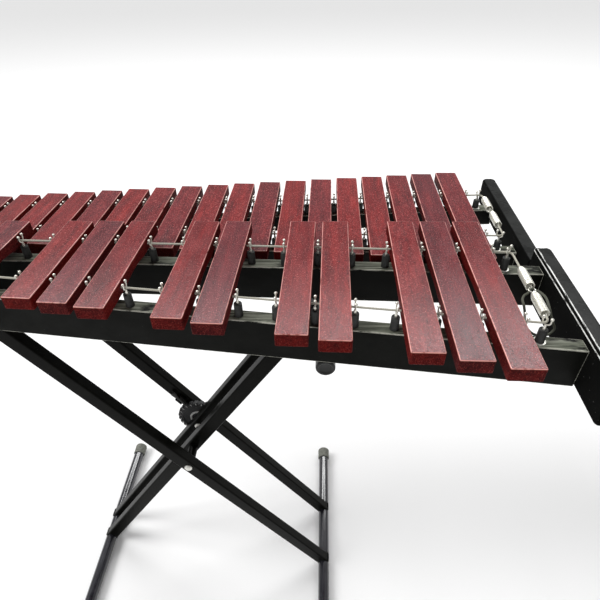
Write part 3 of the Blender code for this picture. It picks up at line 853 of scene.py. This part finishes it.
def build_board(node):
    """End board: far corners round in plan, a high one's near ones from the side."""
    low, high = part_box(node)
    mesh = bmesh.new()
    wear_and_highlight = mesh.faces.layers.float.new("edge")
    bmesh.ops.create_cube(mesh, size=1, matrix=Matrix.Translation((low + high) / 2)
                          @ Matrix.Diagonal((*(high - low), 1)))
    outer_x = high.x if high.x > 0 else low.x
    accidental = "accidental" in node
    big = []
    plan = []
    for edge in mesh.edges:
        a, b = (vert.co for vert in edge.verts)
        at_near = abs(a.y - low.y) + abs(b.y - low.y) < HAIR
        at_far = abs(a.y - high.y) + abs(b.y - high.y) < HAIR
        if accidental and at_near and abs(a.x - b.x) > FACE_SLICE:
            big.append(edge)
        if at_far and abs(a.z - b.z) > FACE_SLICE:
            if not accidental or abs(a.x - outer_x) < HAIR:
                plan.append(edge)
    round_edges(mesh, plan, PLAN_CORNER, 6)
    if big:
        round_edges(mesh, [e for e in big if e.is_valid], BOARD_CORNER, 7)
    round_edges(mesh, sharp_edges(mesh, 45), BOARD_ROUND, 4, wear_and_highlight)
    # Only the accidental boards' inner top edges keep the wear and painted highlight.
    for face in mesh.faces:
        middle = face.calc_center_median()
        inside = abs(middle.x - outer_x) > (high.x - low.x) / 2
        above = middle.z > high.z - 2 * BOARD_ROUND
        if not (accidental and inside and above):
            face[wear_and_highlight] = 0
    make(node + "_lacquered", mesh, "board", "instrument", [node])


def build_screws(rails):
    """Two raised screw heads on each board's outer face for every rail."""
    mesh = bmesh.new()
    for rail in rails:
        for side, (_, a, b) in zip((-1, 1), rail.ends):
            node = "end_board_" + ("bass" if side > 0 else "treble")
            row = "_accidental" if (a + b) / 2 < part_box(node + "_accidental")[1].y else "_natural"
            low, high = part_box(node + row)
            face = high.x if side > 0 else low.x
            for share in SCREW_SHARES:
                z = rail.bottom + (min(rail.top, high.z) - rail.bottom) * share
                start = Vector((face - side * 0.0004, (a + b) / 2, z))
                r = SCREW_RADIUS
                turned(mesh, start, Vector((side, 0, 0)),
                       ((0, r), (0.0006, r), (0.0013, r * 0.8), (0.0016, r * 0.5),
                        (0.0016, r * 0.22), (0.0006, r * 0.2), (0.0006, 0)), 20)
    make("board_screws", mesh, "zinc", "instrument")


# --- Cords and springs ---

def cord_route(near, far, cord_z, bass_x, treble_x, springs):
    """Down one run of posts and back up the other, to both spring ends."""
    path = [Vector((bass_x, springs[1], cord_z))]
    turns = ((far, bass_x), (far, treble_x), (near, treble_x), (near, bass_x))
    places = [Vector((x, rail.middle_y(x), cord_z)) for rail, x in turns]
    last = Vector((bass_x, springs[0], cord_z))
    stops = path + places + [last]
    for before, corner, after in zip(stops, stops[1:], stops[2:]):
        back = (before - corner).normalized()
        onward = (after - corner).normalized()
        half = back.angle(onward) / 2
        middle = corner + (back + onward).normalized() * CORD_CORNER / math.sin(half)
        first = corner + back * CORD_CORNER / math.tan(half) - middle
        final = corner + onward * CORD_CORNER / math.tan(half) - middle
        for i in range(9):
            path.append(middle + first.slerp(final, i / 8).normalized() * CORD_CORNER)
    return path + [last]


def add_spring(mesh, far, near):
    """Close-wound barrel spring: a rounded far end, open at the near one."""
    length = (near - far).length
    along = (near - far).normalized()
    across, up = side_axes(along)
    steps = SPRING_TURNS * 14
    path = []
    for i in range(steps + 1):
        share = i / steps
        rise = math.sin(min(share / SPRING_SHOULDER, 1) * math.pi / 2)
        radius = SPRING_NARROW + (SPRING_WIDE - SPRING_NARROW) * rise
        angle = math.tau * SPRING_TURNS * share
        path.append(far + along * (length * share)
                    + radius * (across * math.cos(angle) + up * math.sin(angle)))
    tube(mesh, path, SPRING_WIRE, 6)


def add_ring(mesh, centre, first, second, radius, wire):
    path = [centre + radius * (first * math.cos(math.tau * i / 18)
                               + second * math.sin(math.tau * i / 18)) for i in range(18)]
    tube(mesh, path, wire, 8, closed=True)


def build_springs(row, cord_z):
    """Two springs in line with their hooks and the ring between them."""
    node = "tension_springs_" + row
    low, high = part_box(node)
    x = (low.x + high.x) / 2
    length = (high.y - low.y - SPRING_SPACE) / 2
    mesh = bmesh.new()
    back = Vector((0, -1, 0))
    margin = 2 * HOOK_RADIUS
    for top in (high.y, high.y - length - SPRING_SPACE):
        far = Vector((x, top - margin * 0.6, cord_z))
        near = Vector((x, top - length + margin * 0.4, cord_z))
        add_spring(mesh, far, near)
        add_ring(mesh, far - back * HOOK_RADIUS * 0.7, back, UP, HOOK_RADIUS, HOOK_WIRE)
        add_ring(mesh, near + back * HOOK_RADIUS * 0.7, back, UP, HOOK_RADIUS, HOOK_WIRE)
    middle = Vector((x, high.y - length - SPRING_SPACE / 2, cord_z))
    add_ring(mesh, middle, back, X_AXIS, SPRING_SPACE * 0.42, RING_WIRE)
    make(node + "_coils", mesh, "chrome", "instrument", [node])
    return middle


def build_loop(ring):
    """Elastic loop from the springs' middle ring, round the near spring."""
    points = [ring + Vector(p) / 1000 for p in LOOP_POINTS]
    smooth = []
    count = len(points)
    for i in range(count):
        a, b, c, d = (points[(i + k) % count] for k in (-1, 0, 1, 2))
        for t in (0.0, 0.25, 0.5, 0.75):
            smooth.append(0.5 * (2 * b + (c - a) * t + (2 * a - 5 * b + 4 * c - d) * t ** 2
                                 + (3 * b - a - 3 * c + d) * t ** 3))
    mesh = bmesh.new()
    tube(mesh, smooth, LOOP_RADIUS, 10, closed=True)
    make("spring_retaining_loop", mesh, "tie", "instrument")


def build_cord(row, near, far, cord_z):
    low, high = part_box("cord_" + row)
    spring_low, spring_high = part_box("tension_springs_" + row)
    route = cord_route(near, far, cord_z, high.x - CORD_RADIUS, low.x + CORD_RADIUS,
                       (spring_low.y - GAP, spring_high.y + GAP))
    mesh = bmesh.new()
    tube(mesh, route, CORD_RADIUS, 12)
    make(f"cord_{row}_braided", mesh, "cord", "instrument",
         ["cord_" + row])


# --- Stand ---

def build_leg(node, arm, foot, body):
    """Leg from foot to arm; the outer rear one's box also holds the lock."""
    low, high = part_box(node)
    top = Vector((arm.x, 0, arm.z))
    bottom = Vector((foot.x, 0, foot.z))
    up = (top - bottom).normalized()
    side = Vector((up.z, 0, -up.x))
    middle_y = low.y + LEG_DEPTH / 2
    if node == "outer_leg_rear":
        middle_y = high.y - LEG_DEPTH / 2
    mesh = bmesh.new()
    outline = rounded_outline(LEG_WIDTH / 2, LEG_DEPTH / 2, LEG_ROUND)
    reach = (top - bottom).length
    rings = []
    for distance in (LEG_INSET, reach - LEG_INSET):
        centre = bottom + up * distance + Vector((0, middle_y, 0))
        rings.append([centre + side * u + Vector((0, v, 0)) for u, v in outline])
    loft(mesh, rings)
    for hub, along, radius in ((bottom, up, FOOT_TUBE_RADIUS), (top, -up, ARM_TUBE_RADIUS)):
        add_weld(mesh, hub + Vector((0, middle_y, 0)), along, side, radius)
    make(node + "_tube", mesh, "enamel", body, [node])


def add_weld(mesh, hub, along, side, radius):
    """Lumpy bead where a leg meets a round tube."""
    path = []
    for u, v in rounded_outline(LEG_WIDTH / 2, LEG_DEPTH / 2, LEG_ROUND, 6):
        drop = math.sqrt(max(radius ** 2 - u ** 2, 0))
        lump = random.uniform(-WELD_LUMP, WELD_LUMP)
        path.append(hub + side * (u + lump) + Vector((0, v, 0)) + along * (drop + lump))
    tube(mesh, path, WELD_RADIUS, 8, closed=True)


def build_tube(node, body, look, inset, radius, rubber, profiles):
    """Round tube along Y with rubber on its near and far ends; gives its middle."""
    low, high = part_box(node)
    centre = (low + high) / 2
    near = Vector((centre.x, low.y, centre.z))
    far = Vector((centre.x, high.y, centre.z))
    length = high.y - low.y - 2 * inset
    mesh = bmesh.new()
    turned(mesh, near + Y_AXIS * inset, Y_AXIS, ((0, radius), (length, radius)), 32)
    make(node + "_tube", mesh, look, body, [node])
    for end, start, way, profile in zip(("near", "far"), (near, far), (1, -1), profiles):
        mesh = bmesh.new()
        turned(mesh, start, Y_AXIS * way, profile, 36)
        make(f"{node}_{rubber}_{end}", mesh, rubber, body)
    return centre


def grip_profile(length):
    """Rubber sleeve with a rounded rim and a dished end."""
    r = GRIP_RADIUS
    return ((0.0022, 0.0), (0.0022, r * 0.55), (0.0012, r * 0.66), (0.0002, r * 0.74),
            (0, r * 0.82), (0.0005, r * 0.93), (0.0016, r * 0.985), (0.003, r),
            (length - 0.0012, r), (length - 0.0003, r * 0.975), (length, r * 0.93),
            (length, ARM_TUBE_RADIUS))


def cap_profile(length):
    """Moulded rubber cap with a soft edge and a bead at its mouth."""
    r = FOOT_CAP_RADIUS
    return ((0, 0.0), (0, r * 0.70), (0.0006, r * 0.84), (0.0018, r * 0.93),
            (0.0035, r * 0.975), (0.006, r), (length - 0.006, r * 0.965),
            (length - 0.005, r * 0.99), (length - 0.0015, r * 0.99),
            (length - 0.0004, r * 0.96), (length, r * 0.9), (length, FOOT_TUBE_RADIUS))


def build_arm(node, body):
    return build_tube(node, body, "enamel", ARM_TUBE_INSET, ARM_TUBE_RADIUS, "grip",
                      (grip_profile(GRIP_NEAR), grip_profile(GRIP_FAR)))


def build_foot(node, body):
    return build_tube(node, body, "gloss", FOOT_TUBE_INSET, FOOT_TUBE_RADIUS, "cap",
                      [cap_profile(FOOT_CAP_LENGTH)] * 2)


def joint(name):
    return next(j for j in frame["joints"] if j["name"] == name)


def build_pivot():
    """Pivot rod with its domed head and nut, a spacer, and the bush's head."""
    low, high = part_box("pivot_rod")
    hub = Vector(joint("scissor_pivot")["pos_m"])
    hub.y = low.y
    length = high.y - low.y
    mesh = bmesh.new()
    add_dome(mesh, hub)
    turned(mesh, hub + Y_AXIS * (length - NUT_DEPTH), Y_AXIS,
           ((0, NUT_RADIUS), (0.0045, NUT_RADIUS), (NUT_DEPTH, 0.0068), (NUT_DEPTH, 0)), 6)
    make("pivot_rod_hardware", mesh, "zinc", "outer_frame", ["pivot_rod"])
    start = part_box("outer_leg_front")[0].y + LEG_DEPTH + GAP - low.y
    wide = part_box("inner_leg_front")[0].y - low.y - GAP - start
    shaft = bmesh.new()
    turned(shaft, hub + Y_AXIS * SHAFT_INSET, Y_AXIS,
           ((0, SHAFT_RADIUS), (length - 2 * SHAFT_INSET, SHAFT_RADIUS)), 20)
    turned(shaft, hub + Y_AXIS * start, Y_AXIS,
           ((0, SPACER_RADIUS * 0.96), (0.0006, SPACER_RADIUS),
            (wide - 0.0006, SPACER_RADIUS), (wide, SPACER_RADIUS * 0.96)), 28)
    make("pivot_shaft_and_spacer", shaft, "enamel", "outer_frame")
    bush = bmesh.new()
    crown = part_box("inner_leg_rear")[0].y - BUSH_HEAD - low.y
    add_dome(bush, hub + Y_AXIS * crown)
    make("pivot_bush_head", bush, "zinc", "inner_frame")


def add_dome(mesh, start):
    """Round bolt head along Y, from its crown at the start."""
    profile = []
    for i in range(9):
        angle = math.pi / 2 * i / 8
        profile.append((DOME_HEIGHT * (1 - math.cos(angle)), BOLT_RADIUS * math.sin(angle)))
    profile += [(HEAD_DEPTH, BOLT_RADIUS), (HEAD_DEPTH, 0.0)]
    turned(mesh, start, Y_AXIS, profile, 28)


def disc_outline(rim):
    """The disc's toothed edge, as pairs along X and Z."""
    root = rim - TOOTH_DEPTH
    tooth = ((0.02, rim - 0.0004), (0.08, rim), (0.52, rim), (0.60, rim - 0.0006),
             (0.68, root), (0.93, root))
    outline = []
    for i in range(DISC_TEETH):
        for share, radius in tooth:
            angle = math.tau * (i + share) / DISC_TEETH
            outline.append((radius * math.cos(angle), radius * math.sin(angle)))
    return outline


def build_disc():
    """Toothed lock disc with a raised rim, a ring and marks painted pale as a highlight, and its
    bush.
    """
    low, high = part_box("lock_disc")
    centre = (low + high) / 2
    hub = Vector((centre.x, low.y, centre.z))
    rim = (high.x - low.x) / 2
    depth = high.y - low.y
    outline = disc_outline(rim)
    mesh = bmesh.new()
    rings = []
    for y, shrink in ((0.0, 0.985), (DISC_CHAMFER, 1.0), (depth - DISC_CHAMFER, 1.0),
                      (depth, 0.985)):
        rings.append([hub + Vector((u * shrink, y, v * shrink)) for u, v in outline])
    loft(mesh, rings)
    raised = bmesh.new()
    for target, radius, wide, tall in ((mesh, rim * 0.80, 0.0022, 0.0012),
                                       (raised, rim * 0.42, 0.0024, 0.0016)):
        ring = []
        for offset, lift in ((-wide, 0.0005), (-wide * 0.6, -tall), (wide * 0.6, -tall),
                             (wide, 0.0005)):
            ring.append(circle(hub + Y_AXIS * lift, X_AXIS, UP, radius + offset, 48))
        loft(target, ring, closed=True)
    for i in range(DISC_TEETH):
        angle = math.tau * (i + 0.3) / DISC_TEETH
        radial = Vector((math.cos(angle), 0, math.sin(angle)))
        start = hub + radial * (rim * 0.86)
        end = hub + radial * (rim * 0.965)
        tube(raised, [start, end], MARK_RADIUS, 6)
    make("lock_disc_moulding", mesh, "nylon", "inner_frame",
         ["lock_disc"])
    # Raised ring and marks in pale nylon: a painted highlight.
    make("lock_disc_raised_marks", raised, "rubbed", "inner_frame")
    bush = bmesh.new()
    turned(bush, hub - Y_AXIS * 0.0022, Y_AXIS,
           ((0, 0.0052), (0.0006, BUSH_RADIUS), (0.0024, BUSH_RADIUS)), 24)
    make("lock_disc_bush", bush, "zinc", "inner_frame")


def build_lock_pin():
    """Plunger with a turned knob, and the channel that it slides in."""
    low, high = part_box("lock_pin")
    along = Vector(joint("lock_pin_pull")["axis"])
    centre = (low + high) / 2
    half = (high.z - low.z) / 2 / along.z * PIN_SHARE
    tip = centre - along * half
    length = 2 * half
    mesh = bmesh.new()
    turned(mesh, tip, along,
           ((0, 0.0010), (0.0012, 0.0026), (0.0022, PIN_RADIUS), (length * 0.74, PIN_RADIUS),
            (length * 0.74, 0.0038), (length * 0.78, KNOB_RADIUS), (length * 0.92, KNOB_RADIUS),
            (length * 0.97, 0.0036), (length * 0.97, 0)), 20)
    make("lock_pin_plunger", mesh, "blued", "lock_pin", ["lock_pin"])
    side = Vector((along.z, 0, -along.x))
    leg_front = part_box("outer_leg_rear")[1].y - LEG_DEPTH
    start = tip + along * CHANNEL_START
    back = leg_front - centre.y + 0.0005
    half, slot, front = CHANNEL_HALF, CHANNEL_SLOT, CHANNEL_FRONT
    outline = ((-half, front), (-slot, front), (-slot, slot), (slot, slot),
               (slot, front), (half, front), (half, back), (-half, back))
    channel = bmesh.new()
    rings = [[start + along * d + side * u + Y_AXIS * v for u, v in outline]
             for d in (0, CHANNEL_LENGTH)]
    loft(channel, rings)
    round_edges(channel, sharp_edges(channel, 60), 0.0005, 2)
    make("lock_pin_channel", channel, "enamel", "outer_frame")


def build_stand():
    outer_arm = build_arm("outer_arm", "outer_arm")
    inner_arm = build_arm("inner_arm", "inner_frame")
    outer_foot = build_foot("outer_foot", "outer_frame")
    inner_foot = build_foot("inner_foot", "inner_frame")
    for node in ("outer_leg_front", "outer_leg_rear"):
        build_leg(node, outer_arm, outer_foot, "outer_frame")
    for node in ("inner_leg_front", "inner_leg_rear"):
        build_leg(node, inner_arm, inner_foot, "inner_frame")
    build_pivot()
    build_disc()
    build_lock_pin()


# --- Instrument ---

def build_instrument():
    """Both rows with their rails, posts, cords and springs, then the boards."""
    rails = {}
    for row in ("accidental", "natural"):
        rails[row] = [Rail(f"rail_{row}_{place}") for place in ("inner", "outer")]
    for row, pair in rails.items():
        bar_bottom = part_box(row_bars(row)[0])[0].z
        cord_low, cord_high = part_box("cord_" + row)
        cord_z = (cord_low.z + cord_high.z) / 2
        lines = [(rail.middle_y, cord_z) for rail in pair]
        build_bars(row, lines)
        for rail in pair:
            build_rail(rail)
            build_posts(rail, cord_z, bar_bottom)
        near, far = sorted(pair, key=lambda rail: rail.middle_y(0))
        build_cord(row, near, far, cord_z)
        ring = build_springs(row, cord_z)
        if row == "accidental":
            build_loop(ring)
    for end in ("bass", "treble"):
        for row in rails:
            build_board(f"end_board_{end}_{row}")
    build_screws(rails["accidental"] + rails["natural"])


# --- Stage, lights and camera ---

def build_floor():
    n = Nodes("floor_paper")
    n.set(Roughness=0.9, Specular_IOR_Level=0.1, Base_Color=(0.93, 0.93, 0.93, 1))
    bpy.ops.mesh.primitive_plane_add(size=FLOOR_SIZE,
                                     location=(0, 0, CAD_BOX[0][2] - FLOOR_DROP))
    floor = bpy.context.object
    floor.name = "floor"
    floor.data.materials.append(n.material)


def build_world():
    world = bpy.data.worlds.new("studio")
    world.use_nodes = True
    background = world.node_tree.nodes["Background"]
    background.inputs["Color"].default_value = (1, 1, 1, 1)
    background.inputs["Strength"].default_value = 0.43
    bpy.context.scene.world = world


def direction(azimuth, elevation):
    """Towards a light; azimuth 0 is beyond the object, along +Y."""
    a, e = math.radians(azimuth), math.radians(elevation)
    return Vector((math.sin(a) * math.cos(e), math.cos(a) * math.cos(e), math.sin(e)))


def add_lamp(name, data, location, away):
    """Lamp that shines back along a direction."""
    lamp = bpy.data.objects.new(name, data)
    lamp.location = location
    lamp.rotation_euler = away.to_track_quat('Z', 'Y').to_euler()
    bpy.context.scene.collection.objects.link(lamp)


def build_lights():
    """A wide soft key from the treble side, and a long band beyond for gloss."""
    key = bpy.data.lights.new("key", 'SUN')
    key.energy = 1.8
    key.angle = math.radians(25)
    away = direction(-95, 48)
    add_lamp("key", key, away * 4, away)
    band = bpy.data.lights.new("band", 'AREA')
    band.shape = 'RECTANGLE'
    band.size = 8.0
    band.size_y = 0.7
    band.energy = 190
    away = direction(-2, 47)
    add_lamp("band", band, Vector((0.2, -0.15, 0.93)) + away * 5, away)


def build_camera():
    """Camera at standing height on the accidentals' side, near the bass end."""
    yaw, pitch, roll = CAMERA_TURN
    forward = Vector((math.sin(yaw) * math.cos(pitch), math.cos(yaw) * math.cos(pitch),
                      -math.sin(pitch)))
    level = Vector((math.cos(yaw), -math.sin(yaw), 0))
    upright = level.cross(forward)
    right = level * math.cos(roll) + upright * math.sin(roll)
    up = upright * math.cos(roll) - level * math.sin(roll)
    turn = Matrix((right, up, -forward)).transposed().to_4x4()
    data = bpy.data.cameras.new("camera")
    data.sensor_width = 36
    data.lens = CAMERA_LENS
    data.shift_x = CAMERA_SHIFT
    data.clip_start = 0.02
    camera = bpy.data.objects.new("camera", data)
    camera.matrix_world = Matrix.Translation(CAMERA_PLACE) @ turn
    bpy.context.scene.collection.objects.link(camera)
    bpy.context.scene.camera = camera


bpy.context.scene.view_settings.view_transform = 'Standard'
build_camera()
build_floor()
build_world()
build_lights()
build_instrument()
build_stand()
